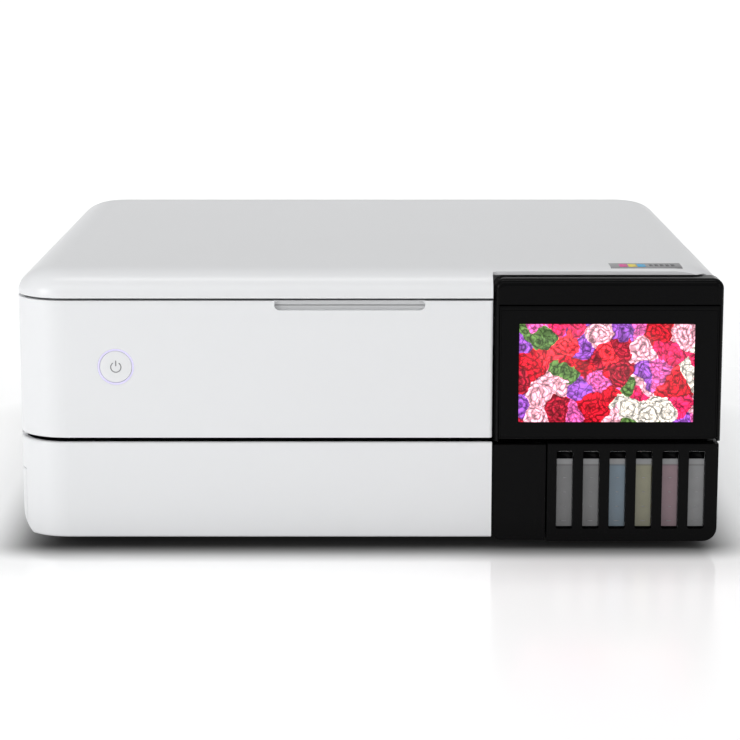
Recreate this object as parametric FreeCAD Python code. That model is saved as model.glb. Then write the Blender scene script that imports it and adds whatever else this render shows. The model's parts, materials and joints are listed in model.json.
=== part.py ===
import FreeCAD, Part
import math
import os

V = FreeCAD.Vector

# overall size, millimetres; the origin is the middle of the footprint on the floor
HALF_W = 201.5
FRONT = -189.0
BACK = 181.6
REAR = 189.0
TOP = 162.0
FOOT_H = 5.0
WALL = 3.0
CORNER_R = 29.0
BOTTOM_R_LEFT = 18.0
BOTTOM_R_RIGHT = 11.0

# front face layout
BODY_TOP = 145.0
LID_Z = 146.2
SPLIT_X = 70.0
GAP_LO = 63.4
GAP_HI = 66.2
FLAP_Z = 7.8
FLAP_WRAP_Y = -174.0
FLAP_TAB_Y = -167.0
FLAP_TAB_Z = 45.0
PANEL_WRAP_Y = -158.0

# screen pod
POD_X0 = 70.6
POD_X1 = 200.5
POD_TOP = 157.5
POD_BACK = -173.0
SCREEN_X0 = 73.9
SCREEN_X1 = 197.9
SCREEN_TOP = 142.2
SCREEN_PIVOT = (-187.9, 141.1)
SCREEN_PIN_R = 0.55
LCD_CX = 134.6
LCD_CZ = 103.5
LCD_W = 99.4
LCD_H = 56.6

# ink windows
TANK_X0 = 111.8
TANK_PITCH = 15.1
TANKS = 6
WINDOW_W = 9.4

# hinge line shared by the document lid and the scanner unit
HINGE_Y = 178.6
HINGE_Z = 149.2
HINGE_XS = (-120.0, 120.0)
PIN_R = 1.5
RUN = 0.05

# power button
BUTTON_X = -143.6
BUTTON_Z = 107.2

# front flap pivot
FLAP_PIVOT = (-184.0, 10.0)

# rear flap pivot
REAR_PIVOT = (187.4, 62.0)


def box(x0, x1, y0, y1, z0, z1):
    return Part.makeBox(x1 - x0, y1 - y0, z1 - z0, V(x0, y0, z0))


def cyl(r, length, start, axis):
    return Part.makeCylinder(r, length, V(*start), V(*axis))


def rod_x(r, x0, x1, y, z):
    return cyl(r, x1 - x0, (x0, y, z), (1, 0, 0))


def rod_y(r, y0, y1, x, z):
    return cyl(r, y1 - y0, (x, y0, z), (0, 1, 0))


def rod_z(r, z0, z1, x, y):
    return cyl(r, z1 - z0, (x, y, z0), (0, 0, 1))


def ring_y(ro, ri, y0, y1, x, z):
    return rod_y(ro, y0, y1, x, z).cut(rod_y(ri, y0 - 1, y1 + 1, x, z))


def edges_where(shape, test):
    return [e for e in shape.Edges if test(e)]


def soft(shape, r, test):
    edges = edges_where(shape, test)
    return shape.makeFillet(r, edges) if edges else shape


def along(edge, axis):
    a, b = edge.Vertexes[0].Point, edge.Vertexes[-1].Point
    d = b.sub(a)
    return d.Length > 1e-6 and abs(d.dot(axis)) > 0.999 * d.Length


def soft_box(x0, x1, y0, y1, z0, z1, r, axis="z"):
    way = {"x": V(1, 0, 0), "y": V(0, 1, 0), "z": V(0, 0, 1)}[axis]
    return soft(box(x0, x1, y0, y1, z0, z1), r, lambda e: along(e, way))


def body_prism(z0, z1, inset=0.0):
    """The body's outline in plan, four rounded corners, raised from z0 to z1."""
    return soft_box(-HALF_W + inset, HALF_W - inset, FRONT + inset, BACK - inset, z0, z1, CORNER_R - inset)


def side_profile(inset=0.0):
    """The body's outline seen from the front, bottom corners rounded, drawn through its whole depth."""
    block = box(-HALF_W + inset, HALF_W - inset, -195, 195, FOOT_H + inset, 170)
    block = soft(block, BOTTOM_R_LEFT - inset, lambda e: along(e, V(0, 1, 0)) and e.CenterOfMass.x < 0
                 and e.CenterOfMass.z < 20)
    return soft(block, BOTTOM_R_RIGHT - inset, lambda e: along(e, V(0, 1, 0)) and e.CenterOfMass.x > 0
                and e.CenterOfMass.z < 20)


def body_ring(z0, z1):
    outer = body_prism(z0, z1).common(side_profile())
    inner = body_prism(z0 - 1, z1 + 1, WALL).common(side_profile(WALL))
    return outer.cut(inner)


def gear_x(teeth, module, x0, x1, y, z, bore, phase=0.0):
    """A spur gear about X with straight-sided teeth and a little backlash."""
    rp = module * teeth / 2.0
    pts = []
    for i in range(teeth):
        for frac, r in ((-0.30, rp - 1.2 * module), (-0.13, rp + 0.9 * module),
                        (0.13, rp + 0.9 * module), (0.30, rp - 1.2 * module)):
            a = 2 * math.pi * (i + frac + phase) / teeth
            pts.append(V(x0, y + r * math.cos(a), z + r * math.sin(a)))
    pts.append(pts[0])
    solid = Part.Face(Part.makePolygon(pts)).extrude(V(x1 - x0, 0, 0))
    return solid.cut(rod_x(bore, x0 - 1, x1 + 1, y, z)) if bore else solid


def base_tray():
    floor = body_prism(FOOT_H, 7.6, WALL + 0.1)
    floor = floor.cut(box(-210, 69.8, -200, -171.4, 0, 10))
    floor = floor.cut(box(69.8, 210, -200, -171.4, 0, 10))
    main = box(-182.4, 189.4, -200, 149.4, 0, 10)
    floor = floor.common(main.fuse(box(-177.6, 177.6, 140, 173.6, 0, 10)))
    wall = box(66.4, 68.4, -150, 148, 7.5, 56)
    return floor.fuse(wall)


def rubber_feet():
    spots = [(-165, -140), (165, -140), (-165, 150), (165, 150)]
    return Part.makeCompound([rod_z(11, 0, FOOT_H, x, y) for x, y in spots])


def upper_front_panel():
    ring = body_ring(GAP_HI, BODY_TOP)
    keep = box(-210, SPLIT_X, FRONT - 1, PANEL_WRAP_Y, GAP_HI, BODY_TOP)
    shell = ring.common(keep)
    back_rib = box(-160, 66.6, -186.2, -178, 132, 134)
    shell = shell.fuse(back_rib)
    bracket = box(BUTTON_X - 16, BUTTON_X + 16, -178, -176, BUTTON_Z - 14, BUTTON_Z + 14)
    bracket = bracket.cut(rod_y(2.6, -179, -175, BUTTON_X, BUTTON_Z))
    posts = [rod_y(2.5, -186.1, -177.9, BUTTON_X + s * 13, BUTTON_Z + t * 11) for s in (-1, 1) for t in (-1, 1)]
    shell = shell.cut(rod_y(10.4, FRONT - 1, -180, BUTTON_X, BUTTON_Z)).fuse([bracket] + posts)
    scoop = soft_box(-53.5, 31.6, FRONT - 1, -186.6, 139.6, 150, 3.0, "y")
    shell = shell.cut(scoop)
    return soft(shell, 1.8, lambda e: along(e, V(0, 0, 1)) and abs(e.CenterOfMass.x - SPLIT_X) < 0.1
                and abs(e.CenterOfMass.y - FRONT) < 0.1)


def left_cover():
    ring = body_ring(FOOT_H, BODY_TOP)
    lower = box(-210, -182.6, FLAP_WRAP_Y + 0.6, 150, FOOT_H, 64.8)
    lower = lower.cut(box(-211, -182, -180, FLAP_TAB_Y + 0.6, FLAP_TAB_Z - 0.6, 65))
    upper = box(-210, -150, PANEL_WRAP_Y + 0.4, 150, 64.8, BODY_TOP)
    return ring.common(lower.fuse(upper))


def right_cover():
    ring = body_ring(FOOT_H, BODY_TOP)
    return ring.common(box(189.6, 210, POD_BACK + 0.4, 150, FOOT_H, BODY_TOP))


def rear_cover():
    shell = body_ring(FOOT_H, BODY_TOP).common(box(-210, 210, 150.4, 200, FOOT_H, BODY_TOP))
    for x in HINGE_XS:
        shell = shell.cut(box(x - 8, x + 16, 172, 190, 126, 160))
    shell = shell.cut(box(-185.4, -158.6, 170, 190, 20.6, 41.4))
    shell = shell.cut(box(139.4, 172.6, 170, 190, 22.6, 41.4))
    shell = shell.cut(box(-138, 105, 170, 190, 66, 140))
    shell = shell.cut(box(-178, 178, 150, 174, 4, 12))
    for z in range(50, 90, 6):
        shell = shell.cut(box(135, 168, 170, 190, z, z + 3))
    frame = soft_box(-150, 117, BACK - 0.2, REAR, 44, 145.0, 3.0, "y")
    frame = frame.cut(box(-143, 110, 180, 190, 58, 150))
    for x in HINGE_XS:
        frame = frame.cut(box(x - 8, x + 16, 172, 181.5, 126, 160))
    return shell.fuse(frame)


def rear_flap():
    y, z = REAR_PIVOT
    plate = box(-142.4, 109.4, 186.2, 188.6, 62, 145.4)
    barrel = rod_x(1.2, -142.4, 109.4, y, z)
    plate = plate.fuse(barrel)
    pins = [rod_x(0.8, -142.9, -142.3, y, z), rod_x(0.8, 109.3, 109.9, y, z)]
    track = [box(x, x + 3, 182.6, 186.3, 66, 140) for x in (-96.0, 60.0)]
    return plate.fuse(pins + track)


def paper_support():
    plate = soft_box(-92, 59, 183.2, 185.6, 68, 143, 8.0, "y")
    return plate.cut(soft_box(-50, 17, 180, 190, 90, 130, 6.0, "y"))


def chassis_frame():
    """Sheet steel inside: two end plates and the rear wall that carries the carriage rail."""
    left = box(-188, -186.6, 20, 120, 9, 108)
    right = box(186.6, 188, 20, 120, 9, 108)
    rear = box(-186.6, 186.6, 118.6, 120, 60, 108)
    flanges = [box(-186.7, -176, 20, 120, 8.5, 9.8), box(176, 186.7, 20, 120, 8.5, 9.8),
               box(-182, -176, 20, 120, 7.6, 8.6), box(176, 182, 20, 120, 7.6, 8.6)]
    return left.fuse([right, rear] + flanges)


def carriage_rail():
    rail = box(-186.4, 186.4, 40, 46, 86, 89)
    lip = box(-186.4, 186.4, 44.6, 46, 89, 100)
    bracket = box(-176, -160, 45.9, 65, 84, 87)
    shaft = rod_z(1.95, 86.9, 102, -172, 58)
    return rail.fuse([lip, bracket, shaft])


def belt_loop(x0, x1, y, z, r, width, thick):
    """A flat toothed belt round two pulleys whose shafts stand upright."""
    outer = soft_box(x0 - r - thick, x1 + r + thick, y - r - thick, y + r + thick, z, z + width, r + thick - 0.01)
    inner = soft_box(x0 - r, x1 + r, y - r, y + r, z - 1, z + width + 1, r - 0.01)
    return outer.cut(inner)


def pulley(x, y, z, r, width, shaft_r):
    wheel = rod_z(r - 0.15, z - 0.3, z + width + 0.3, x, y)
    flange = rod_z(r + 2.0, z - 1.5, z - 0.25, x, y).fuse(rod_z(r + 2.0, z + width + 0.25, z + width + 1.5, x, y))
    return wheel.fuse(flange).cut(rod_z(shaft_r, z - 3, z + width + 3, x, y))


def carriage_motor():
    can = rod_z(13, 40, 78, 172, 58)
    shaft = rod_z(1.95, 77.9, 102, 172, 58)
    return can.fuse(shaft)


def print_carriage():
    body = soft_box(-42, 42, -22, 37.6, 72, 114, 4.0)
    body = body.cut(box(-38, 38, -18, 33, 96, 115))
    shoe = box(-30, 30, 37.5, 39.6, 80, 100).fuse(box(-30, 30, 37.5, 44.0, 89.4, 99.6))
    clamp = box(-12, 12, 46.4, 50.7, 92, 100).fuse(box(-12, 12, 33, 50.7, 101.0, 103.4))
    clamp = clamp.fuse(box(-12, 12, 46.4, 50.7, 99, 102))
    return body.fuse([shoe, clamp])


def platen():
    plate = box(-150, 150, -28, 40, 62.4, 66.4)
    ribs = [box(x - 1, x + 1, -28, 40, 66.3, 68.0) for x in range(-140, 145, 20)]
    return plate.fuse(ribs)


def rollers():
    feed = rod_x(3.0, -185, 150, 58, 66).fuse([rod_x(6.0, x, x + 40, 58, 66) for x in (-130, -70, -10, 50)])
    end = rod_x(3.0, -160, 110, -40, 69).fuse([rod_x(5.0, x, x + 14, -40, 69) for x in range(-130, 90, 36)])
    return feed, end


def paper_motor():
    can = rod_x(14, -138, -112, 90, 86)
    return can.fuse(rod_x(1.5, -184.5, -137.9, 90, 86))


def ink_housing():
    """Black front housing with one opening for each ink window."""
    x0, x1 = 101.8, 199.4
    shell = box(x0, x1, FRONT, -173, 5.4, 62.5)
    shell = shell.cut(box(104, 196.6, -186.4, -172, 8, 60.6))
    shell = soft(shell, 8.0, lambda e: along(e, V(0, 1, 0)) and e.CenterOfMass.x > 198 and e.CenterOfMass.z < 7)
    for i in range(TANKS):
        x = TANK_X0 + TANK_PITCH * i
        hole = soft_box(x - WINDOW_W / 2, x + WINDOW_W / 2, FRONT - 1, -185, 12.7, 58.3, 1.2, "y")
        shell = shell.cut(hole)
    return soft(shell, 0.8, lambda e: abs(e.CenterOfMass.y - FRONT) < 0.01 and e.Length > 40
                and abs(e.CenterOfMass.z - 62.5) < 0.1)


def tank_shells():
    """Six clear tanks in one moulding, open inside, with filler necks and the caps' hinge bar."""
    x_first = TANK_X0 - 6.6
    x_last = TANK_X0 + TANK_PITCH * (TANKS - 1) + 6.6
    unit = box(x_first - 1.5, x_last + 1.5, -138, -128, 59.9, 61.5)
    for i in range(TANKS):
        x = TANK_X0 + TANK_PITCH * i
        tank = box(x - 6.6, x + 6.6, -185.9, -100, 12.0, 60.0)
        unit = unit.fuse(tank).fuse(rod_z(4.6, 59.9, 63, x, -150))
    for i in range(TANKS):
        x = TANK_X0 + TANK_PITCH * i
        unit = unit.cut(box(x - 5.2, x + 5.2, -184.6, -101.4, 13.6, 58.4))
        unit = unit.cut(rod_z(3.2, 57, 64, x, -150))
    stands = [box(x - 0.6, x + 0.6, -137, -131.6, 61.4, 66.9)
              for x in [TANK_X0 + TANK_PITCH * (i - 0.5) for i in range(TANKS + 1)]]
    return unit.fuse(stands + [rod_x(0.75, x_first - 0.9, x_last + 0.9, -134.3, 65.1)])


def ink_fill(i):
    x = TANK_X0 + TANK_PITCH * i
    return box(x - 5.15, x + 5.15, -184.55, -101.45, 13.65, 50.8)


def tank_cap(i):
    """A flip-up cap, hinged behind the filler neck."""
    x = TANK_X0 + TANK_PITCH * i
    lid = box(x - 6.2, x + 6.2, -158, -136, 64.4, 67.4)
    knuckle = rod_x(1.7, x - 6.2, x + 6.2, -134.3, 65.1).fuse(box(x - 6.2, x + 6.2, -137, -134.3, 63.6, 66.6))
    return lid.fuse(knuckle).cut(rod_x(0.75 + RUN, x - 8, x + 8, -134.3, 65.1))


def blank_panel():
    plate = box(70.8, 100.8, FRONT, -176, 6.2, 62.0)
    plate = plate.cut(box(73, 99, -186.4, -170, 8, 60))
    return soft(plate, 5.0, lambda e: along(e, V(0, 1, 0)) and e.CenterOfMass.x < 71 and e.CenterOfMass.z < 7)


def pod_frame():
    """The glossy black surround of the tilting screen."""
    pod = box(POD_X0, POD_X1, FRONT, POD_BACK, 64.0, POD_TOP)
    pod = soft(pod, 6.0, lambda e: along(e, V(0, 1, 0)) and e.CenterOfMass.z > 150)
    pod = soft(pod, 4.0, lambda e: along(e, V(0, 0, 1)) and e.CenterOfMass.x > 200 and e.CenterOfMass.y < -188)
    pod = pod.cut(box(SCREEN_X0 - 0.4, SCREEN_X1 + 0.4, FRONT - 1, -175.4, 60, 142.9))
    pod = pod.cut(box(SCREEN_X0 + 6, SCREEN_X1 - 6, -176, -170, 70, 138))
    pod = soft(pod, 1.5, lambda e: abs(e.CenterOfMass.y - FRONT) < 0.01 and abs(e.CenterOfMass.z - POD_TOP) < 0.1)
    y, z = SCREEN_PIVOT
    return pod.fuse([rod_x(SCREEN_PIN_R, SCREEN_X0 - 0.6, SCREEN_X0 + 2.6, y, z),
                     rod_x(SCREEN_PIN_R, SCREEN_X1 - 2.6, SCREEN_X1 + 0.6, y, z)])


def screen_housing():
    y, z = SCREEN_PIVOT
    plate = box(SCREEN_X0, SCREEN_X1, FRONT, -179.5, 65.5, SCREEN_TOP)
    plate = soft(plate, 1.08, lambda e: along(e, V(1, 0, 0)) and e.CenterOfMass.z > 142 and e.CenterOfMass.y < -188)
    plate = plate.cut(box(SCREEN_X0 + 0.8, SCREEN_X1 - 0.8, FRONT - 1, -187.6, 66.4, 139.6))
    plate = plate.cut(box(LCD_CX - LCD_W / 2 - 2, LCD_CX + LCD_W / 2 + 2, -188, -183.5,
                          LCD_CZ - LCD_H / 2 - 2, LCD_CZ + LCD_H / 2 + 2))
    plate = plate.cut(rod_x(SCREEN_PIN_R + RUN, SCREEN_X0 - 1, SCREEN_X0 + 3, y, z))
    return plate.cut(rod_x(SCREEN_PIN_R + RUN, SCREEN_X1 - 3, SCREEN_X1 + 1, y, z))


def touch_glass():
    return box(SCREEN_X0 + 0.9, SCREEN_X1 - 0.9, -189.0, -187.7, 66.5, 139.5)


def display():
    return box(LCD_CX - LCD_W / 2, LCD_CX + LCD_W / 2, -187.6, -184.2, LCD_CZ - LCD_H / 2, LCD_CZ + LCD_H / 2)


def button_parts():
    """Button cap, light ring and return spring."""
    cap = rod_y(9.1, FRONT, -184.5, BUTTON_X, BUTTON_Z)
    cap = soft(cap, 0.6, lambda e: abs(e.CenterOfMass.y - FRONT) < 0.01)
    cap = cap.fuse(rod_y(2.0, -184.6, -180.2, BUTTON_X, BUTTON_Z))
    ring = ring_y(10.3, 9.3, FRONT + 0.1, -184.6, BUTTON_X, BUTTON_Z)
    spring = ring_y(3.6, 2.6, -184.4, -178.1, BUTTON_X, BUTTON_Z)
    return cap, ring, spring


def front_flap():
    ring = body_prism(FLAP_Z, GAP_LO).cut(body_prism(0, 80, WALL)).common(side_profile())
    keep = box(-210, SPLIT_X, FRONT - 1, FLAP_WRAP_Y, FLAP_Z, GAP_LO)
    plate = ring.common(keep.fuse(box(-210, -190, FRONT - 1, FLAP_TAB_Y, FLAP_TAB_Z, GAP_LO)))
    plate = soft(plate, 1.2, lambda e: along(e, V(1, 0, 0)) and abs(e.CenterOfMass.y - FRONT) < 0.1)
    y, z = FLAP_PIVOT
    for x in (-150.0, 40.0):
        lug = rod_x(2.8, x, x + 6, y, z).fuse(box(x, x + 6, -186.4, y, z - 1, z + 2))
        plate = plate.fuse(lug.cut(rod_x(PIN_R + RUN, x - 1, x + 7, y, z)))
        plate = plate.cut(rod_x(PIN_R + RUN, x - 1, x + 7, y, z))
    return plate


def cassette_tray():
    tray = box(-186, 64, -172, 132, 10, 40)
    tray = tray.cut(box(-183, 61, -168, 129, 12.4, 41))
    y, z = FLAP_PIVOT
    for x in (-150.0, 40.0):
        for x_arm in (x - 3.4, x + 6.4):
            arm = box(x_arm, x_arm + 3, y, -171, z - 1.7, z + 1.7).fuse(rod_x(1.7, x_arm, x_arm + 3, y, z))
            tray = tray.fuse(arm)
        tray = tray.fuse(rod_x(PIN_R, x - 0.6, x + 6.6, y, z))
    return tray


def edge_guide(side):
    cx = -61.0
    x = cx + side * 109.0
    fence = box(min(x, x + side * 3), max(x, x + side * 3), -150, 20, 12.8, 36)
    foot_y = (-96, -86) if side < 0 else (-82, -72)
    rack_y = (-91.4, -88.6) if side < 0 else (-79.4, -76.6)
    foot = box(min(x, x - side * 26), max(x, x - side * 26), foot_y[0], foot_y[1], 12.8, 15)
    reach = cx - side * 2
    rack = box(min(x, reach), max(x, reach), rack_y[0], rack_y[1], 12.8, 14.4)
    return fence.fuse([foot, rack])


def length_guide():
    stop = box(-86, -36, 108, 111, 12.8, 34)
    return stop.fuse(box(-86, -36, 90, 111, 12.8, 15.4))


def photo_cassette():
    tray = box(-150, 28, -166, 60, 40.8, 51)
    return tray.cut(box(-147.6, 25.6, -163.6, 57.6, 42.6, 52))


def output_stage_one():
    plate = box(-150, 28, -170, 20, 54.2, 60.4)
    return plate.cut(box(-146, 24, -171, 17, 55.6, 59.2))


def output_stage_two():
    plate = box(-145.7, 23.7, -148, 5, 55.8, 59.0)
    return plate.cut(box(-100, -22, -138, -90, 57.6, 60))


def scanner_base():
    tray = soft_box(-197, 197, -169, 174, 116, 144.6, 18.0)
    tray = tray.cut(soft_box(-194, 194, -166, 171, 118.4, 142.4, 15.0))
    tray = tray.cut(box(-112, 186, -116, 116, 141, 146))
    tray = tray.fuse(rod_x(3, -194.2, 194.2, 0, 124))
    for x in HINGE_XS:
        ear = box(x + 7.4, x + 13.4, 171, HINGE_Y + 2, 139, 145.9)
        ear = ear.fuse(box(x + 7.4, x + 13.4, HINGE_Y - 3.2, HINGE_Y + 2, 145.8, HINGE_Z))
        ear = ear.fuse(rod_x(2.4, x + 7.4, x + 13.4, HINGE_Y, HINGE_Z))
        tray = tray.fuse(ear).cut(rod_x(PIN_R + RUN, x + 6, x + 15, HINGE_Y, HINGE_Z))
    return tray


def scan_glass():
    return box(-111.8, 185.8, -115.8, 115.8, 141.6, 144.4)


def scan_carriage():
    bar = box(-104, -86, -112, 112, 128, 139.6)
    hub = box(-106, -84, -9, 9, 119.6, 128.2)
    return bar.fuse(hub).cut(rod_x(3 + RUN, -110, -80, 0, 124))


def hinge_posts():
    """Two posts on the chassis, each with the pin that the lid and the scanner unit turn on."""
    solids = []
    for x in HINGE_XS:
        post = box(x - 6, x + 6, 174.6, HINGE_Y + 2, 120, HINGE_Z).fuse(rod_x(2.4, x - 6, x + 6, HINGE_Y, HINGE_Z))
        post = post.cut(box(x - 7, x + 7, 178.2, 182, 110, 126.5))
        solids.append(post.fuse(rod_x(PIN_R, x - 14, x + 22, HINGE_Y, HINGE_Z)))
    return Part.makeCompound(solids)


def document_lid():
    """Deep lid with a soft shoulder all round and a step behind the screen pod."""
    lid = body_prism(LID_Z, TOP)
    lid = soft(lid, 15.0, lambda e: abs(e.CenterOfMass.z - TOP) < 0.01)
    lid = lid.cut(box(SPLIT_X + 0.3, 210, FRONT - 1, -171.8, 140, 170))
    round_off = box(-210, 210, HINGE_Y, BACK + 1, LID_Z - 1, HINGE_Z)
    lid = lid.cut(round_off.cut(rod_x(BACK - HINGE_Y, -210, 210, HINGE_Y, HINGE_Z)))
    hollow = box(-190, 190, -164, 168, LID_Z - 1, 152.0)
    lid = lid.cut(hollow)
    for x in HINGE_XS:
        lid = lid.cut(box(x - 7.6, x + 15.4, 173.6, 190, 140, 153.8))
        lid = lid.cut(rod_x(PIN_R + RUN, x - 14.5, x + 22.5, HINGE_Y, HINGE_Z))
    return lid


def lid_pad():
    return box(-186, 186, -122, 122, LID_Z - 0.9, 151.9)


def mainboard():
    board = box(-120, 40, 140, 141.6, 66, 112)
    chips = [box(x, x + 16, 137.4, 140.1, 76, 92) for x in (-104, -60, -16)]
    return board.fuse(chips)


def ac_inlet():
    shell = box(-185, -159, 160, 182.6, 21, 41)
    shell = shell.cut(soft_box(-182, -162, 164, 184, 24, 38, 3.0, "y"))
    pins = [rod_y(1.2, 163.5, 178, x, 31) for x in (-176, -168)]
    return shell.fuse(pins)


def data_ports():
    shell = box(140, 172, 164, 182.2, 23, 41)
    shell = shell.cut(box(142.4, 154.6, 167, 184, 25.4, 36.4))
    return shell.cut(box(157, 170, 167, 184, 25.4, 38.4))


def build():
    os.makedirs("parts", exist_ok=True)
    parts = {}
    parts["base_tray"] = base_tray()
    parts["rubber_feet"] = rubber_feet()
    parts["upper_front_panel"] = upper_front_panel()
    parts["left_cover"] = left_cover()
    parts["right_cover"] = right_cover()
    parts["rear_cover"] = rear_cover()
    parts["rear_flap"] = rear_flap()
    parts["paper_support"] = paper_support()
    parts["chassis_frame"] = chassis_frame()
    parts["carriage_rail"] = carriage_rail()
    parts["carriage_belt"] = belt_loop(-172, 172, 58, 94, 6, 5, 1.2)
    parts["drive_pulley"] = pulley(172, 58, 94, 6, 5, 2.0)
    parts["idler_pulley"] = pulley(-172, 58, 94, 6, 5, 2.0)
    parts["carriage_motor"] = carriage_motor()
    parts["print_carriage"] = print_carriage()
    parts["platen"] = platen()
    feed, end = rollers()
    parts["feed_roller"] = feed
    parts["exit_roller"] = end
    parts["feed_gear"] = gear_x(44, 1.0, -184, -178, 58, 66, 3.02)
    parts["motor_pinion"] = gear_x(31, 1.0, -183.5, -178.5, 90, 86, 1.55, 0.668)
    parts["paper_motor"] = paper_motor()
    parts["ink_housing"] = ink_housing()
    parts["tank_shells"] = tank_shells()
    for i, name in enumerate(("black", "photo_black", "cyan", "yellow", "magenta", "grey")):
        parts["ink_" + name] = ink_fill(i)
        parts["cap_" + name] = tank_cap(i)
    parts["blank_panel"] = blank_panel()
    parts["pod_frame"] = pod_frame()
    parts["screen_housing"] = screen_housing()
    parts["touch_glass"] = touch_glass()
    parts["display"] = display()
    cap, ring, spring = button_parts()
    parts["power_button"] = cap
    parts["light_ring"] = ring
    parts["button_spring"] = spring
    parts["front_flap"] = front_flap()
    parts["cassette_tray"] = cassette_tray()
    parts["guide_left"] = edge_guide(-1)
    parts["guide_right"] = edge_guide(1)
    parts["length_guide"] = length_guide()
    parts["photo_cassette"] = photo_cassette()
    parts["output_stage_one"] = output_stage_one()
    parts["output_stage_two"] = output_stage_two()
    parts["scanner_base"] = scanner_base()
    parts["scan_glass"] = scan_glass()
    parts["scan_carriage"] = scan_carriage()
    parts["hinge_posts"] = hinge_posts()
    parts["document_lid"] = document_lid()
    parts["lid_pad"] = lid_pad()
    parts["mainboard"] = mainboard()
    parts["ac_inlet"] = ac_inlet()
    parts["data_ports"] = data_ports()
    for name, shape in parts.items():
        shape.exportStep("parts/" + name + ".step")
        print(name, len(shape.Solids), shape.isValid(), round(shape.Volume))
    print(len(parts))


build()
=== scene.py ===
import bpy
import bmesh
import json
import math
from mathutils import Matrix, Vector


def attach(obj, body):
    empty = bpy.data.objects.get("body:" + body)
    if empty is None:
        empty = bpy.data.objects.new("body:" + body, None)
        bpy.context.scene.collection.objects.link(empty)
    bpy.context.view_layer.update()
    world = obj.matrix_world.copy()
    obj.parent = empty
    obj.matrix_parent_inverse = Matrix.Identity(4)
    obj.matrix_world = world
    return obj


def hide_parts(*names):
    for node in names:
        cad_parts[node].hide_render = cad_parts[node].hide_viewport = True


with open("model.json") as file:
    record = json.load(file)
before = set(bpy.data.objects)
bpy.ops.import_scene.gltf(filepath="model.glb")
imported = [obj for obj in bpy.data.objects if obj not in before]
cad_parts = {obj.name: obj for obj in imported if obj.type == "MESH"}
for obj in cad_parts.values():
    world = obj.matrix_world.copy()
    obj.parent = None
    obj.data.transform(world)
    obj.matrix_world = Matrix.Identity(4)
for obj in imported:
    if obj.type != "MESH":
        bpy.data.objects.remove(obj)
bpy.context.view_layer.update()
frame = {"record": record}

MM = 0.001
FRONT, BACK, HALF_W = -189.0, 181.6, 201.5
CORNER_R = 29.0

# the lid: straight skirt, then an elliptical shoulder up to the flat top
LID_BASE, LID_SKIRT, LID_TOP = 146.2, 147.6, 161.92
SHOULDER_DEPTH, SHOULDER_RISE = 22.0, LID_TOP - LID_SKIRT

# the lid stops short of the pod; a thin lip reaches over the pod's top
NOTCH_X, NOTCH_Y, LIP_Y, LIP_Z = 70.0, -171.8, -177.4, 158.2
HINGE_XS = (-120.0, 120.0)

# power button
BUTTON_X, BUTTON_Z = -143.6, 107.2

# ink windows: first centre, spacing, tank front and the places of the moulded ticks
TANK_X0, TANK_PITCH = 111.8, 15.1
TANK_FRONT, TANK_BACK = -186.3, -185.92
TANK_Z0, TANK_Z1, INK_LEVEL = 13.6, 53.3, 49.9
TICK_ZS = (25.3, 33.8, 42.2)


# ---------------------------------------------------------------- materials
def tree(name):
    mat = bpy.data.materials.new(name)
    mat.use_nodes = True
    nodes = mat.node_tree.nodes
    return mat, nodes, mat.node_tree.links, nodes["Principled BSDF"]


def add(nodes, kind, **values):
    node = nodes.new(kind)
    for key, value in values.items():
        if key in node.inputs:
            node.inputs[key].default_value = value
        else:
            setattr(node, key, value)
    return node


def ramp(nodes, stops):
    node = nodes.new("ShaderNodeValToRGB")
    elements = node.color_ramp.elements
    while len(elements) < len(stops):
        elements.new(0.5)
    for element, (pos, col) in zip(elements, stops):
        element.position = pos
        element.color = (*col, 1.0) if len(col) == 3 else col
    return node


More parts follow.
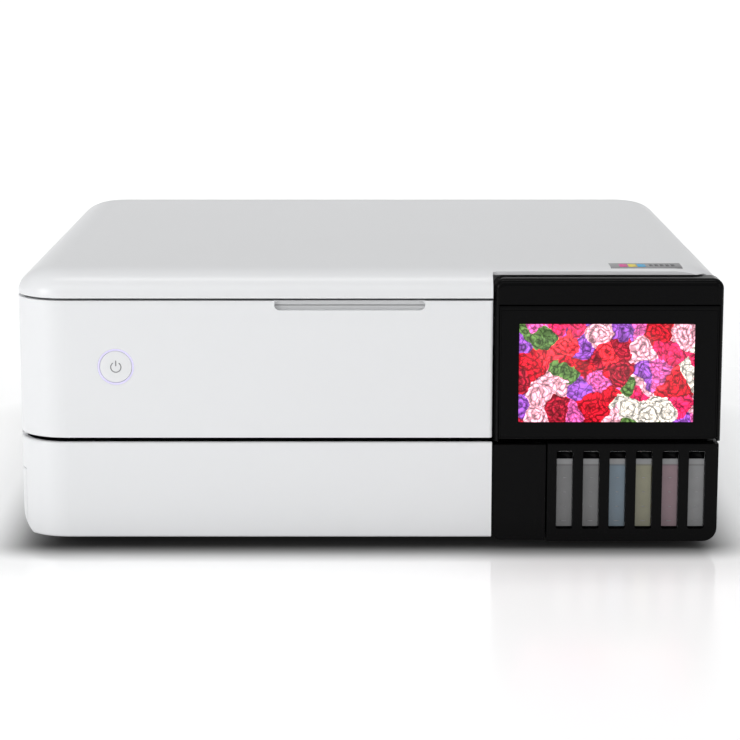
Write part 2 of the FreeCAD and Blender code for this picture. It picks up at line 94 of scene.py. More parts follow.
def plastic(name, color, rough, grain=0.0, grain_scale=900.0, coat=0.0, vary=0.03, dust=0.02, spec=0.5):
    """Moulded plastic: slow tone drift, fine grain in roughness and bump, faint dust on upward faces."""
    mat, nodes, links, bsdf = tree(name)
    coords = add(nodes, "ShaderNodeTexCoord")
    drift = add(nodes, "ShaderNodeTexNoise", Scale=7.0, Detail=3.0, Roughness=0.5)
    fine = add(nodes, "ShaderNodeTexNoise", Scale=grain_scale, Detail=2.0, Roughness=0.6)
    links.new(coords.outputs["Object"], drift.inputs["Vector"])
    links.new(coords.outputs["Object"], fine.inputs["Vector"])
    dark = tuple(c * (1 - vary) for c in color)
    tone = ramp(nodes, [(0.35, dark), (0.65, color)])
    links.new(drift.outputs["Fac"], tone.inputs["Fac"])
    geo = add(nodes, "ShaderNodeNewGeometry")
    split = add(nodes, "ShaderNodeSeparateXYZ")
    links.new(geo.outputs["Normal"], split.inputs["Vector"])
    up = add(nodes, "ShaderNodeMapRange")
    up.inputs["From Min"].default_value = 0.6
    up.inputs["To Max"].default_value = dust
    links.new(split.outputs["Z"], up.inputs["Value"])
    speck = add(nodes, "ShaderNodeMath", operation="MULTIPLY")
    links.new(up.outputs["Result"], speck.inputs[0])
    links.new(fine.outputs["Fac"], speck.inputs[1])
    mix = add(nodes, "ShaderNodeMix", data_type="RGBA")
    links.new(speck.outputs["Value"], mix.inputs["Factor"])
    links.new(tone.outputs["Color"], mix.inputs["A"])
    mix.inputs["B"].default_value = (0.62, 0.61, 0.59, 1.0)
    links.new(mix.outputs["Result"], bsdf.inputs["Base Color"])
    gloss = add(nodes, "ShaderNodeMapRange")
    gloss.inputs["To Min"].default_value = max(rough - 0.03, 0.02)
    gloss.inputs["To Max"].default_value = rough + 0.03
    links.new(fine.outputs["Fac"], gloss.inputs["Value"])
    links.new(gloss.outputs["Result"], bsdf.inputs["Roughness"])
    if grain:
        bump = add(nodes, "ShaderNodeBump", Strength=grain, Distance=0.00005)
        links.new(fine.outputs["Fac"], bump.inputs["Height"])
        links.new(bump.outputs["Normal"], bsdf.inputs["Normal"])
    bsdf.inputs["Coat Weight"].default_value = coat
    bsdf.inputs["Coat Roughness"].default_value = 0.06
    bsdf.inputs["Specular IOR Level"].default_value = spec
    return mat


def metal(name, color, rough, stretch=(1.0, 60.0, 60.0)):
    """Rolled or drawn metal with long fine streaks."""
    mat, nodes, links, bsdf = tree(name)
    coords = add(nodes, "ShaderNodeTexCoord")
    mapping = add(nodes, "ShaderNodeMapping", Scale=stretch)
    streak = add(nodes, "ShaderNodeTexNoise", Scale=22.0, Detail=5.0, Roughness=0.65)
    links.new(coords.outputs["Object"], mapping.inputs["Vector"])
    links.new(mapping.outputs["Vector"], streak.inputs["Vector"])
    tone = ramp(nodes, [(0.3, tuple(c * 0.8 for c in color)), (0.7, color)])
    links.new(streak.outputs["Fac"], tone.inputs["Fac"])
    links.new(tone.outputs["Color"], bsdf.inputs["Base Color"])
    gloss = add(nodes, "ShaderNodeMapRange")
    gloss.inputs["To Min"].default_value = rough - 0.08
    gloss.inputs["To Max"].default_value = rough + 0.1
    links.new(streak.outputs["Fac"], gloss.inputs["Value"])
    links.new(gloss.outputs["Result"], bsdf.inputs["Roughness"])
    bsdf.inputs["Metallic"].default_value = 1.0
    return mat


def clear(name, color, rough, alpha_like=0.9, ior=1.49):
    """Clear or frosted moulding with faint flow marks."""
    mat, nodes, links, bsdf = tree(name)
    coords = add(nodes, "ShaderNodeTexCoord")
    flow = add(nodes, "ShaderNodeTexNoise", Scale=60.0, Detail=3.0, Distortion=1.2)
    links.new(coords.outputs["Object"], flow.inputs["Vector"])
    gloss = add(nodes, "ShaderNodeMapRange")
    gloss.inputs["To Min"].default_value = max(rough - 0.04, 0.0)
    gloss.inputs["To Max"].default_value = rough + 0.06
    links.new(flow.outputs["Fac"], gloss.inputs["Value"])
    links.new(gloss.outputs["Result"], bsdf.inputs["Roughness"])
    tone = ramp(nodes, [(0.3, tuple(c * 0.94 for c in color)), (0.7, color)])
    links.new(flow.outputs["Fac"], tone.inputs["Fac"])
    links.new(tone.outputs["Color"], bsdf.inputs["Base Color"])
    bsdf.inputs["Transmission Weight"].default_value = alpha_like
    bsdf.inputs["IOR"].default_value = ior
    return mat


def glow(name, color, strength):
    mat, nodes, links, bsdf = tree(name)
    coords = add(nodes, "ShaderNodeTexCoord")
    noise = add(nodes, "ShaderNodeTexNoise", Scale=120.0, Detail=1.0)
    links.new(coords.outputs["Object"], noise.inputs["Vector"])
    tone = ramp(nodes, [(0.3, tuple(c * 0.93 for c in color)), (0.7, color)])
    links.new(noise.outputs["Fac"], tone.inputs["Fac"])
    links.new(tone.outputs["Color"], bsdf.inputs["Base Color"])
    links.new(tone.outputs["Color"], bsdf.inputs["Emission Color"])
    bsdf.inputs["Emission Strength"].default_value = strength
    bsdf.inputs["Roughness"].default_value = 0.3
    return mat


def rubber(name, color=(0.03, 0.03, 0.032)):
    return plastic(name, color, 0.62, grain=0.5, grain_scale=1400.0, vary=0.15, dust=0.12, spec=0.3)


def circuit(name):
    """Solder-masked board: fine tracks from a brick pattern over green lacquer."""
    mat, nodes, links, bsdf = tree(name)
    coords = add(nodes, "ShaderNodeTexCoord")
    brick = add(nodes, "ShaderNodeTexBrick", Scale=140.0)
    brick.inputs["Color1"].default_value = (0.015, 0.13, 0.06, 1)
    brick.inputs["Color2"].default_value = (0.02, 0.17, 0.08, 1)
    brick.inputs["Mortar"].default_value = (0.10, 0.28, 0.12, 1)
    links.new(coords.outputs["Object"], brick.inputs["Vector"])
    links.new(brick.outputs["Color"], bsdf.inputs["Base Color"])
    bsdf.inputs["Roughness"].default_value = 0.35
    return mat


def picture(name):
    """A made-up bright abstract of layered petal shapes on the display."""
    mat, nodes, links, bsdf = tree(name)
    coords = add(nodes, "ShaderNodeTexCoord")
    squash = add(nodes, "ShaderNodeMapping", Scale=(1.0, 0.0, 1.0))
    links.new(coords.outputs["Object"], squash.inputs["Vector"])
    warp = add(nodes, "ShaderNodeTexNoise", Scale=90.0, Detail=3.0)
    links.new(squash.outputs["Vector"], warp.inputs["Vector"])
    shift = add(nodes, "ShaderNodeMix", data_type="VECTOR")
    shift.inputs["Factor"].default_value = 0.012
    links.new(squash.outputs["Vector"], shift.inputs["A"])
    links.new(warp.outputs["Color"], shift.inputs["B"])
    big = add(nodes, "ShaderNodeTexVoronoi", Scale=85.0, Randomness=0.95)
    links.new(shift.outputs["Result"], big.inputs["Vector"])
    hue = add(nodes, "ShaderNodeSeparateColor")
    links.new(big.outputs["Color"], hue.inputs["Color"])
    blooms = ramp(nodes, [(0.0, (0.62, 0.005, 0.02)), (0.16, (0.85, 0.02, 0.12)), (0.30, (0.80, 0.12, 0.42)),
                          (0.42, (0.95, 0.45, 0.55)), (0.52, (0.40, 0.01, 0.03)), (0.64, (0.30, 0.08, 0.50)),
                          (0.74, (0.80, 0.74, 0.66)), (0.84, (0.90, 0.03, 0.05)), (0.93, (0.10, 0.20, 0.05))])
    blooms.color_ramp.interpolation = "CONSTANT"
    links.new(hue.outputs["Red"], blooms.inputs["Fac"])
    rings = add(nodes, "ShaderNodeMath", operation="MULTIPLY")
    rings.inputs[1].default_value = 26.0
    links.new(big.outputs["Distance"], rings.inputs[0])
    petals = add(nodes, "ShaderNodeTexVoronoi", Scale=330.0, feature="DISTANCE_TO_EDGE")
    links.new(shift.outputs["Result"], petals.inputs["Vector"])
    wave = add(nodes, "ShaderNodeMath", operation="SINE")
    links.new(rings.outputs["Value"], wave.inputs[0])
    shade = add(nodes, "ShaderNodeMapRange")
    shade.inputs["From Min"].default_value = -1.0
    shade.inputs["To Min"].default_value = 0.45
    shade.inputs["To Max"].default_value = 1.25
    links.new(wave.outputs["Value"], shade.inputs["Value"])
    edge = add(nodes, "ShaderNodeMapRange")
    edge.inputs["From Max"].default_value = 0.16
    edge.inputs["To Min"].default_value = 0.25
    links.new(petals.outputs["Distance"], edge.inputs["Value"])
    depth = add(nodes, "ShaderNodeMath", operation="MULTIPLY")
    links.new(shade.outputs["Result"], depth.inputs[0])
    links.new(edge.outputs["Result"], depth.inputs[1])
    tint = add(nodes, "ShaderNodeVectorMath", operation="SCALE")
    links.new(blooms.outputs["Color"], tint.inputs[0])
    links.new(depth.outputs["Value"], tint.inputs["Scale"])
    links.new(tint.outputs["Vector"], bsdf.inputs["Emission Color"])
    links.new(tint.outputs["Vector"], bsdf.inputs["Base Color"])
    bsdf.inputs["Emission Strength"].default_value = 1.15
    bsdf.inputs["Roughness"].default_value = 0.25
    return mat


def tank_face(name, ink):
    """Frosted tank front: ink below the level, a dark line at its surface, pale empty tank above, darker
    towards the bottom and the top; the face glows faintly, a painted light.
    """
    mat, nodes, links, bsdf = tree(name)
    coords = add(nodes, "ShaderNodeTexCoord")
    split = add(nodes, "ShaderNodeSeparateXYZ")
    links.new(coords.outputs["Object"], split.inputs["Vector"])
    height = add(nodes, "ShaderNodeMapRange")
    height.inputs["From Min"].default_value = 12.0 * MM
    height.inputs["From Max"].default_value = 60.0 * MM
    links.new(split.outputs["Z"], height.inputs["Value"])
    at = (INK_LEVEL - 12.0) / 48.0
    pale = (0.17, 0.172, 0.175)
    stops = [(0.0, tuple(c * 0.78 for c in ink)), (0.35, ink), (at - 0.02, tuple(c * 1.05 for c in ink)),
             (at - 0.005, tuple(c * 0.62 for c in ink)), (at + 0.012, pale),
             (1.0, tuple(c * 0.85 for c in pale))]
    tone = ramp(nodes, stops)
    links.new(height.outputs["Result"], tone.inputs["Fac"])
    cloud = add(nodes, "ShaderNodeTexNoise", Scale=160.0, Detail=3.0)
    links.new(coords.outputs["Object"], cloud.inputs["Vector"])
    amount = add(nodes, "ShaderNodeMapRange")
    amount.inputs["To Min"].default_value = 0.86
    amount.inputs["To Max"].default_value = 1.1
    links.new(cloud.outputs["Fac"], amount.inputs["Value"])
    mul = add(nodes, "ShaderNodeVectorMath", operation="SCALE")
    links.new(tone.outputs["Color"], mul.inputs[0])
    links.new(amount.outputs["Result"], mul.inputs["Scale"])
    links.new(mul.outputs["Vector"], bsdf.inputs["Base Color"])
    links.new(mul.outputs["Vector"], bsdf.inputs["Emission Color"])
    # painted light: the tank face glows though nothing in it is lit
    bsdf.inputs["Emission Strength"].default_value = 0.25
    bsdf.inputs["Roughness"].default_value = 0.32
    bsdf.inputs["Coat Weight"].default_value = 0.4
    return mat


WHITE = plastic("white_shell", (0.80, 0.808, 0.82), 0.30, grain=0.10, vary=0.006, dust=0.0, spec=0.5)
SLOT_MATERIALS = {
    "white_plastic": WHITE,
    "black_gloss": plastic("black_gloss", (0.0030, 0.0030, 0.0032), 0.16, grain=0.03, vary=0.1, dust=0.0,
                           spec=0.055),
    "black_matte": plastic("black_matte", (0.010, 0.010, 0.011), 0.42, grain=0.4, vary=0.12, dust=0.0,
                           spec=0.2),
    "grey_plastic": plastic("grey_plastic", (0.20, 0.205, 0.21), 0.42, grain=0.25, vary=0.06, dust=0.03),
    "clear_plastic": clear("clear_plastic", (0.86, 0.88, 0.89), 0.16, 0.8),
    "steel": metal("rolled_steel", (0.56, 0.57, 0.58), 0.34),
    "rubber": rubber("rubber"),
    "glass": clear("cover_glass", (0.92, 0.95, 0.95), 0.04, 0.96, 1.5),
    "light": glow("ring_light", (0.72, 0.68, 0.92), 0.16),
    "board": circuit("circuit_board"),
    "ink_black": plastic("ink_black", (0.012, 0.012, 0.014), 0.1, vary=0.1),
    "ink_photo_black": plastic("ink_photo_black", (0.02, 0.02, 0.022), 0.1, vary=0.1),
    "ink_cyan": plastic("ink_cyan", (0.02, 0.20, 0.32), 0.1, vary=0.1),
    "ink_yellow": plastic("ink_yellow", (0.45, 0.36, 0.03), 0.1, vary=0.1),
    "ink_magenta": plastic("ink_magenta", (0.34, 0.03, 0.15), 0.1, vary=0.1),
    "ink_grey": plastic("ink_grey", (0.17, 0.175, 0.185), 0.1, vary=0.1),
    "screen": picture("display_picture"),
}
NODE_SLOTS = {sub["node"]: sub["material_slot"] for sub in frame["record"]["subparts"]}


def dress_cad_nodes():
    for node, slot in NODE_SLOTS.items():
        obj = bpy.data.objects[node]
        obj.data.materials.clear()
        obj.data.materials.append(SLOT_MATERIALS[slot])


# ---------------------------------------------------------------- mesh helpers
def finish_mesh(name, bm, mat, body, bevel=0.0, segments=3, angle=35.0, smooth=True):
    bmesh.ops.recalc_face_normals(bm, faces=bm.faces)
    mesh = bpy.data.meshes.new(name)
    bm.to_mesh(mesh)
    bm.free()
    for poly in mesh.polygons:
        poly.use_smooth = smooth
    obj = bpy.data.objects.new(name, mesh)
    bpy.context.scene.collection.objects.link(obj)
    mesh.materials.append(mat)
    if bevel:
        add_bevel(obj, bevel, segments, angle)
    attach(obj, body)
    return obj


def add_bevel(obj, width, segments=3, angle=35.0):
    mod = obj.modifiers.new("soft_edges", "BEVEL")
    mod.width = width * MM
    mod.segments = segments
    mod.limit_method = "ANGLE"
    mod.angle_limit = math.radians(angle)
    mod.harden_normals = True
    mod.use_clamp_overlap = True
    return mod


def round_outline(corners, steps=14):
    """Plan outline from (x, y, radius) corners listed anticlockwise, as points with outward normals."""
    out = []
    count = len(corners)
    for i, (x, y, r) in enumerate(corners):
        p = Vector((x, y))
        a = (Vector(corners[i - 1][:2]) - p).normalized()
        b = (Vector(corners[(i + 1) % count][:2]) - p).normalized()
        turn = a.x * b.y - a.y * b.x
        centre = p + (a + b) * r
        start = p + a * r - centre
        end = p + b * r - centre
        a0 = math.atan2(start.y, start.x)
        a1 = math.atan2(end.y, end.x)
        sweep = (a1 - a0 + math.pi) % (2 * math.pi) - math.pi
        sign = 1.0 if turn < 0 else -1.0
        for k in range(steps + 1):
            ang = a0 + sweep * k / steps
            d = Vector((math.cos(ang), math.sin(ang)))
            out.append((centre + d * r, d * sign))
    return out


def loft(outline, profile, caps=True):
    """Stack of rings: each profile entry is (inset, z)."""
    bm = bmesh.new()
    rings = []
    for inset, z in profile:
        rings.append([bm.verts.new(((p.x - n.x * inset) * MM, (p.y - n.y * inset) * MM, z * MM))
                      for p, n in outline])
    for low, high in zip(rings, rings[1:]):
        for i in range(len(low)):
            j = (i + 1) % len(low)
            bm.faces.new((low[i], low[j], high[j], high[i]))
    if caps:
        bm.faces.new(list(reversed(rings[0])))
        bm.faces.new(rings[-1])
    return bm


def slab(x0, x1, y0, y1, z0, z1, r=0.0, axis="y", steps=6):
    """A plate with rounded corners seen along its thin axis."""
    spans = {"x": (y0, y1, z0, z1, x0, x1),
             "y": (x0, x1, z0, z1, y0, y1),
             "z": (x0, x1, y0, y1, z0, z1)}[axis]
    u0, u1, v0, v1, w0, w1 = spans
    r = max(r, 0.05)
    pts = round_outline([(u0, v0, r), (u1, v0, r), (u1, v1, r), (u0, v1, r)], steps)
    bm = bmesh.new()
    rings = []
    for w in (w0, w1):
        ring = []
        for p, _ in pts:
            xyz = {"x": (w, p.x, p.y), "y": (p.x, w, p.y), "z": (p.x, p.y, w)}[axis]
            ring.append(bm.verts.new([c * MM for c in xyz]))
        rings.append(ring)
    for i in range(len(pts)):
        j = (i + 1) % len(pts)
        bm.faces.new((rings[0][i], rings[0][j], rings[1][j], rings[1][i]))
    bm.faces.new(rings[0])
    bm.faces.new(list(reversed(rings[1])))
    return bm


def merge(bms):
    out = bmesh.new()
    for bm in bms:
        mesh = bpy.data.meshes.new("tmp")
        bm.to_mesh(mesh)
        bm.free()
        out.from_mesh(mesh)
        bpy.data.meshes.remove(mesh)
    return out


def carve(obj, cutters):
    """Cut closed shapes out of a piece and apply the result."""
    for bm in cutters:
        bmesh.ops.recalc_face_normals(bm, faces=bm.faces)
        mesh = bpy.data.meshes.new("cutter")
        bm.to_mesh(mesh)
        bm.free()
        tool = bpy.data.objects.new("cutter", mesh)
        bpy.context.scene.collection.objects.link(tool)
        mod = obj.modifiers.new("cut", "BOOLEAN")
        mod.operation = "DIFFERENCE"
        mod.solver = "EXACT"
        mod.object = tool
        bpy.context.view_layer.update()
        graph = bpy.context.evaluated_depsgraph_get()
        done = bpy.data.meshes.new_from_object(obj.evaluated_get(graph))
        obj.modifiers.remove(mod)
        old = obj.data
        obj.data = done
        bpy.data.meshes.remove(old)
        bpy.data.objects.remove(tool)
        bpy.data.meshes.remove(mesh)
    for poly in obj.data.polygons:
        poly.use_smooth = True


# ---------------------------------------------------------------- pieces
def build_lid():
    """Document lid: flat sides turn into the top through one wide elliptical shoulder."""
    corners = [(-HALF_W, FRONT), (HALF_W, FRONT), (HALF_W, BACK), (-HALF_W, BACK)]
    outline = round_outline([(x, y, CORNER_R) for x, y in corners], 20)
    base = LID_BASE
    profile = [(24.0, base), (1.0, base), (0.25, base + 0.3), (0.0, base + 0.9), (0.0, LID_SKIRT)]
    for k in range(1, 19):
        a = math.radians(90.0 * k / 18)
        profile.append((SHOULDER_DEPTH * (1 - math.cos(a)), LID_SKIRT + SHOULDER_RISE * math.sin(a)))
    bm = loft(outline, profile)
    obj = finish_mesh("lid_shell", bm, WHITE, "lid")
    cuts = [slab(NOTCH_X, 230, -215, NOTCH_Y, 130, LIP_Z, 2.2, "z"),
            slab(NOTCH_X, 230, -215, LIP_Y, 130, 180, 2.2, "z"),
            slab(-190, 190, -164, 168, 140, 152.0, 6, "z")]
    for x in HINGE_XS:
        cuts.append(slab(x - 7.6, x + 15.4, 173.6, 195, 140, 153.8, 0.5, "z"))
    carve(obj, cuts)
    add_bevel(obj, 0.9, 4, 40.0)
    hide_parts("document_lid")


def draped(x0, x1, y0, y1, low, high, steps=8):
    """A thin sheet that follows the lid's top and the start of its shoulder."""
    bm = bmesh.new()
    rows = []
    for k in range(steps + 1):
        y = y0 + (y1 - y0) * k / steps
        reach = min(max((y - FRONT) / SHOULDER_DEPTH, 0.0), 1.0)
        z = LID_SKIRT + SHOULDER_RISE * math.sqrt(1 - (1 - reach) ** 2)
        rows.append([bm.verts.new((x * MM, y * MM, (z + h) * MM))
                     for x, h in ((x0, low), (x1, low), (x1, high), (x0, high))])
    for p, q in zip(rows, rows[1:]):
        for i in range(4):
            j = (i + 1) % 4
            bm.faces.new((p[i], p[j], q[j], q[i]))
    bm.faces.new(rows[0])
    bm.faces.new(list(reversed(rows[-1])))
    return bm


def build_label():
    """Grey plate on the lid with three plain colour patches and blank bars."""
    grey = plastic("label_grey", (0.30, 0.30, 0.31), 0.35, vary=0.05, dust=0.0)
    plate = draped(137.6, 178.4, -173.4, -156.8, -0.1, 0.03)
    finish_mesh("lid_label", plate, grey, "lid")
    for k, (label, col) in enumerate((("magenta", (0.80, 0.02, 0.30)), ("yellow", (0.90, 0.72, 0.02)),
                                      ("cyan", (0.01, 0.42, 0.75)))):
        x = 143.0 + 5.2 * k
        mat = plastic("patch_" + label, col, 0.35, vary=0.04, dust=0.0)
        finish_mesh("label_patch_" + label, draped(x, x + 4.6, -170.0, -160.6, 0.0, 0.07),
                    mat, "lid")
    pale = plastic("label_bar", (0.10, 0.10, 0.105), 0.4, vary=0.05, dust=0.0)
    starts = [160.2 + 3.1 * k for k in range(5)]
    bars = [draped(x, x + 2.0, -168.4, -162.0, 0.0, 0.07) for x in starts]
    finish_mesh("label_bars", merge(bars), pale, "lid")


def arc_band(cx, cz, r, width, a0, a1, y0, y1, steps=40):
    """A flat curved stroke facing the front."""
    bm = bmesh.new()
    rows = []
    for k in range(steps + 1):
        a = math.radians(a0 + (a1 - a0) * k / steps)
        row = []
        for rad, y in ((r - width / 2, y0), (r + width / 2, y0), (r + width / 2, y1), (r - width / 2, y1)):
            row.append(bm.verts.new(((cx + rad * math.sin(a)) * MM, y * MM, (cz + rad * math.cos(a)) * MM)))
        rows.append(row)
    for p, q in zip(rows, rows[1:]):
        for i in range(4):
            j = (i + 1) % 4
            bm.faces.new((p[i], p[j], q[j], q[i]))
    bm.faces.new(rows[0])
    bm.faces.new(list(reversed(rows[-1])))
    return bm


def build_button():
    cx, cz = BUTTON_X, BUTTON_Z
    steps = 64
    profile = [(9.0, -184.6), (9.1, -184.5), (9.1, -188.5), (9.02, -188.72), (8.8, -188.86), (8.4, -188.9),
               (4.0, -188.84), (0.02, -188.82)]
    bm = bmesh.new()
    rings = []
    for r, y in profile:
        rings.append([bm.verts.new(((cx + r * math.cos(2 * math.pi * k / steps)) * MM, y * MM,
                                    (cz + r * math.sin(2 * math.pi * k / steps)) * MM))
                      for k in range(steps)])
    for low, high in zip(rings, rings[1:]):
        for i in range(steps):
            j = (i + 1) % steps
            bm.faces.new((low[i], low[j], high[j], high[i]))
    bm.faces.new(rings[0])
    bm.faces.new(rings[-1])
    stem = arc_band(cx, cz, 1.2, 2.0, 0, 359.9, -184.7, -180.2, 24)
    cap = finish_mesh("button_cap", merge([bm, stem]), WHITE, "button")
    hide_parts("power_button")
    ink = plastic("button_symbol", (0.24, 0.24, 0.25), 0.4, vary=0.05, dust=0.0)
    arc = arc_band(cx, cz - 0.2, 2.9, 0.55, 35, 325, -188.96, -188.7)
    bar = slab(cx - 0.28, cx + 0.28, -188.96, -188.7, cz + 0.4, cz + 3.6, 0.25, "y")
    finish_mesh("button_symbol", merge([arc, bar]), ink, "button")


def build_tank_faces():
    """Frosted fronts of the six tanks with tick marks, and black strips at the top and bottom of each window
    as painted shade of the window recess.
    """
    inks = (("black", (0.105, 0.106, 0.108)), ("photo_black", (0.105, 0.106, 0.108)),
            ("cyan", (0.09, 0.125, 0.155)), ("yellow", (0.155, 0.15, 0.10)),
            ("magenta", (0.155, 0.10, 0.115)), ("grey", (0.145, 0.147, 0.15)))
    tick_mat = plastic("tick_marks", (0.26, 0.26, 0.265), 0.4, vary=0.05, dust=0.0)
    for i, (label, col) in enumerate(inks):
        cx = TANK_X0 + TANK_PITCH * i
        face = slab(cx - 4.4, cx + 4.4, TANK_FRONT, TANK_BACK, TANK_Z0, TANK_Z1, 0.4, "y")
        finish_mesh("tank_face_" + label, face, tank_face("tank_" + label, col), "chassis",
                    0.12)
        ticks = [slab(cx - 0.6, cx + 1.0, -186.38, -186.2, z - 0.22, z + 0.22, 0.1, "y")
                 for z in TICK_ZS]
        ticks.append(slab(cx - 1.4, cx + 1.4, -186.38, -186.2, 16.6, 17.0, 0.1, "y"))
        finish_mesh("tank_ticks_" + label, merge(ticks), tick_mat, "chassis")
        # painted shade: black strips along the top and bottom of the window stand in for the shade inside its
        # recess
        dark = [slab(cx - 4.5, cx + 4.5, -186.42, TANK_BACK, z0, z1, 0.1, "y")
                for z0, z1 in ((53.4, 57.2), (12.4, 13.5))]
        finish_mesh("window_shade_" + label, merge(dark), SLOT_MATERIALS["black_gloss"], "chassis")


def build_touch_panel():
    """Black front sheet with a clear opening, and the lit display just behind it."""
    x0, x1, z0, z1 = 74.82, 196.98, 66.52, 139.48
    cx, cz, half_w, half_h = 134.6, 103.5, 49.7, 28.3
    sheet = finish_mesh("touch_sheet", slab(x0, x1, -189.0, -187.75, z0, z1, 0.6, "y"),
                        SLOT_MATERIALS["black_gloss"], "screen")
    carve(sheet, [slab(cx - half_w, cx + half_w, -190, -187, cz - half_h, cz + half_h, 0.5, "y")])
    add_bevel(sheet, 0.15, 2)
    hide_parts("touch_glass")
    lit_w, lit_h = half_w - 0.05, half_h - 0.05
    glass = slab(cx - lit_w, cx + lit_w, -188.9, -187.8, cz - lit_h, cz + lit_h, 0.45, "y")
    lit = finish_mesh("display_panel", glass, SLOT_MATERIALS["screen"], "screen")
    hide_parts("display")


def build_scoop_painted_shade():
    """Grey strip at the back of the finger scoop above the front panel, painted shade of the recess."""
    shade = plastic("scoop_shade", (0.56, 0.565, 0.575), 0.42, grain=0.1, vary=0.03, dust=0.0)
    strip = slab(-53.3, 31.4, -186.85, -186.62, 139.9, 144.9, 2.6, "y")
    finish_mesh("scoop_lining", strip, shade, "chassis", 0.08)


def soften_cad_edges():
    widths = {"upper_front_panel": 0.9, "front_flap": 0.9, "left_cover": 0.5, "right_cover": 0.5,
              "rear_cover": 0.5, "rear_flap": 0.5, "pod_frame": 0.5, "screen_housing": 0.35,
              "blank_panel": 0.5, "ink_housing": 0.5,
              "cassette_tray": 0.6, "photo_cassette": 0.5, "output_stage_one": 0.5, "output_stage_two": 0.4,
              "scanner_base": 0.8, "print_carriage": 0.8, "guide_left": 0.5, "guide_right": 0.5,
              "length_guide": 0.5, "paper_support": 0.4, "base_tray": 0.5, "rubber_feet": 0.6, "platen": 0.3,
              "lid_pad": 0.8}
    for node, width in widths.items():
        add_bevel(bpy.data.objects[node], width, 3, 38.0)


# ---------------------------------------------------------------- stage
def area(name, loc, target, size, energy, color=(1, 1, 1)):
    data = bpy.data.lights.new(name, "AREA")
    data.shape = "RECTANGLE"
    data.size, data.size_y = size
    data.energy = energy
    data.color = color
    obj = bpy.data.objects.new(name, data)
    bpy.context.scene.collection.objects.link(obj)
    obj.location = loc
    obj.rotation_euler = (Vector(target) - Vector(loc)).to_track_quat("-Z", "Y").to_euler()


def spread(nodes, links, source, start, end, low, high, smooth=False):
    """Map a value range onto another one and hand back the output socket."""
    node = add(nodes, "ShaderNodeMapRange", interpolation_type="SMOOTHSTEP" if smooth else "LINEAR")
    node.inputs["From Min"].default_value = start
    node.inputs["From Max"].default_value = end
    node.inputs["To Min"].default_value = low
    node.inputs["To Max"].default_value = high
    links.new(source, node.inputs["Value"])
    return node.outputs["Result"]


def distance_from_foot(nodes, links, split, half_x, half_y):
    """Distance in plan from the rectangle the printer stands on."""
    join = add(nodes, "ShaderNodeCombineXYZ")
    for axis, half in (("X", half_x), ("Y", half_y)):
        size = add(nodes, "ShaderNodeMath", operation="ABSOLUTE")
        links.new(split.outputs[axis], size.inputs[0])
        over = add(nodes, "ShaderNodeMath", operation="SUBTRACT")
        over.inputs[1].default_value = half
        links.new(size.outputs["Value"], over.inputs[0])
        clip = add(nodes, "ShaderNodeMath", operation="MAXIMUM")
        clip.inputs[1].default_value = 0.0
        links.new(over.outputs["Value"], clip.inputs[0])
        links.new(clip.outputs["Value"], join.inputs[axis])
    away = add(nodes, "ShaderNodeVectorMath", operation="LENGTH")
    links.new(join.outputs["Vector"], away.inputs[0])
    return away.outputs["Value"]


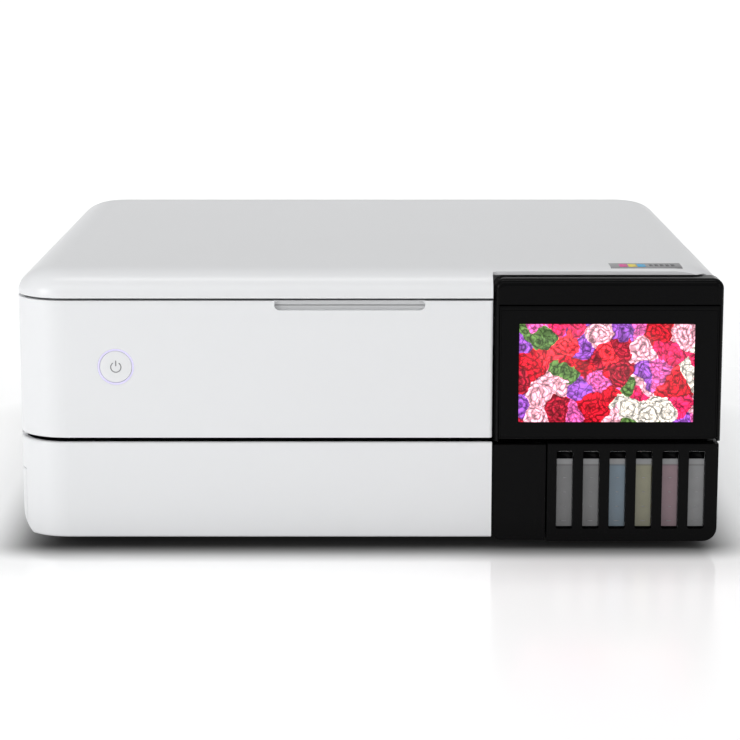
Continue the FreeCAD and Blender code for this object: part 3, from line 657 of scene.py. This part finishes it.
def build_stage():
    mat, nodes, links, bsdf = tree("stage_floor")
    coords = add(nodes, "ShaderNodeTexCoord")
    noise = add(nodes, "ShaderNodeTexNoise", Scale=1.5, Detail=2.0)
    links.new(coords.outputs["Object"], noise.inputs["Vector"])
    tone = ramp(nodes, [(0.3, (0.945, 0.95, 0.955)), (0.7, (0.955, 0.955, 0.955))])
    links.new(noise.outputs["Fac"], tone.inputs["Fac"])
    split = add(nodes, "ShaderNodeSeparateXYZ")
    links.new(coords.outputs["Object"], split.inputs["Vector"])
    # painted shadow: the floor colour drops to 0.16 of its tone within 42 mm of the printer's footprint, a
    # soft contact shadow painted into the floor
    away = distance_from_foot(nodes, links, split, 0.188, 0.176)
    shade = add(nodes, "ShaderNodeMath", operation="MULTIPLY")
    links.new(spread(nodes, links, away, 0.0, 0.042, 0.16, 1.0, True), shade.inputs[0])
    # painted shade: the sweep's colour falls to 0.42 between 0.3 and 0.6 m up, which darkens its reflection
    # in the lid's top
    links.new(spread(nodes, links, split.outputs["Z"], 0.3, 0.6, 1.0, 0.42, True), shade.inputs[1])
    floor_with_painted_shadow = add(nodes, "ShaderNodeVectorMath", operation="SCALE")
    links.new(tone.outputs["Color"], floor_with_painted_shadow.inputs[0])
    links.new(shade.outputs["Value"], floor_with_painted_shadow.inputs["Scale"])
    links.new(floor_with_painted_shadow.outputs["Vector"], bsdf.inputs["Base Color"])
    links.new(floor_with_painted_shadow.outputs["Vector"], bsdf.inputs["Emission Color"])
    # painted light: the floor glows from 0.03 at the footprint to 0.30 a tenth of a metre out, and its
    # reflections are turned down near the footprint, both deepening the painted contact shadow
    links.new(spread(nodes, links, away, 0.0, 0.10, 0.03, 0.30), bsdf.inputs["Emission Strength"])
    links.new(spread(nodes, links, away, 0.012, 0.045, 0.03, 0.55), bsdf.inputs["Specular IOR Level"])
    links.new(spread(nodes, links, away, 0.02, 0.30, 0.05, 0.34), bsdf.inputs["Roughness"])
    bm = bmesh.new()
    rows = [(-9.0, 0.0), (2.0, 0.0)]
    for k in range(1, 13):
        a = math.radians(90.0 * k / 12)
        rows.append((2.0 + 1.2 * math.sin(a), 1.2 * (1 - math.cos(a))))
    rows.append((3.2, 4.0))
    verts = [[bm.verts.new((x, y, z)) for x in (-9.0, 9.0)] for y, z in rows]
    for a, b in zip(verts, verts[1:]):
        bm.faces.new((a[0], a[1], b[1], b[0]))
    mesh = bpy.data.meshes.new("stage_sweep")
    bm.to_mesh(mesh)
    bm.free()
    for poly in mesh.polygons:
        poly.use_smooth = True
    mesh.materials.append(mat)
    floor = bpy.data.objects.new("stage_sweep", mesh)
    bpy.context.scene.collection.objects.link(floor)
    world = bpy.data.worlds.new("studio")
    world.use_nodes = True
    world.node_tree.nodes["Background"].inputs["Color"].default_value = (1.0, 1.0, 1.0, 1.0)
    world.node_tree.nodes["Background"].inputs["Strength"].default_value = 0.41
    bpy.context.scene.world = world
    area("key_top", (0.0, -0.05, 2.0), (0, -0.05, 0.1), (1.6, 0.16), 8)
    area("key_front", (0.0, -2.5, 0.8), (0, -0.15, 0.1), (2.2, 0.5), 0.5)
    area("key_high", (0.0, -1.5, 1.75), (0, -0.15, 0.1), (2.4, 0.7), 6.5)
    area("key_left", (-1.9, -1.4, 0.8), (-0.15, -0.15, 0.1), (0.7, 1.0), 18)
    area("fill_right", (1.9, -1.5, 0.8), (0.1, -0.15, 0.1), (0.7, 1.0), 4)
    area("back_wash", (0.0, 1.4, 1.8), (0, 2.6, 0.6), (3.0, 1.0), 18)


def build_camera():
    data = bpy.data.cameras.new("camera")
    data.sensor_width = 36.0
    data.lens = 116.5
    cam = bpy.data.objects.new("camera", data)
    cam.location = (0.0005, -1.523, 0.357)
    cam.rotation_euler = (math.radians(90.0 - 10.68), 0.0, 0.0)
    bpy.context.scene.collection.objects.link(cam)
    bpy.context.scene.camera = cam


dress_cad_nodes()
soften_cad_edges()
build_lid()
build_label()
build_button()
build_tank_faces()
build_touch_panel()
build_scoop_painted_shade()
build_stage()
build_camera()
bpy.context.scene.view_settings.view_transform = "Standard"
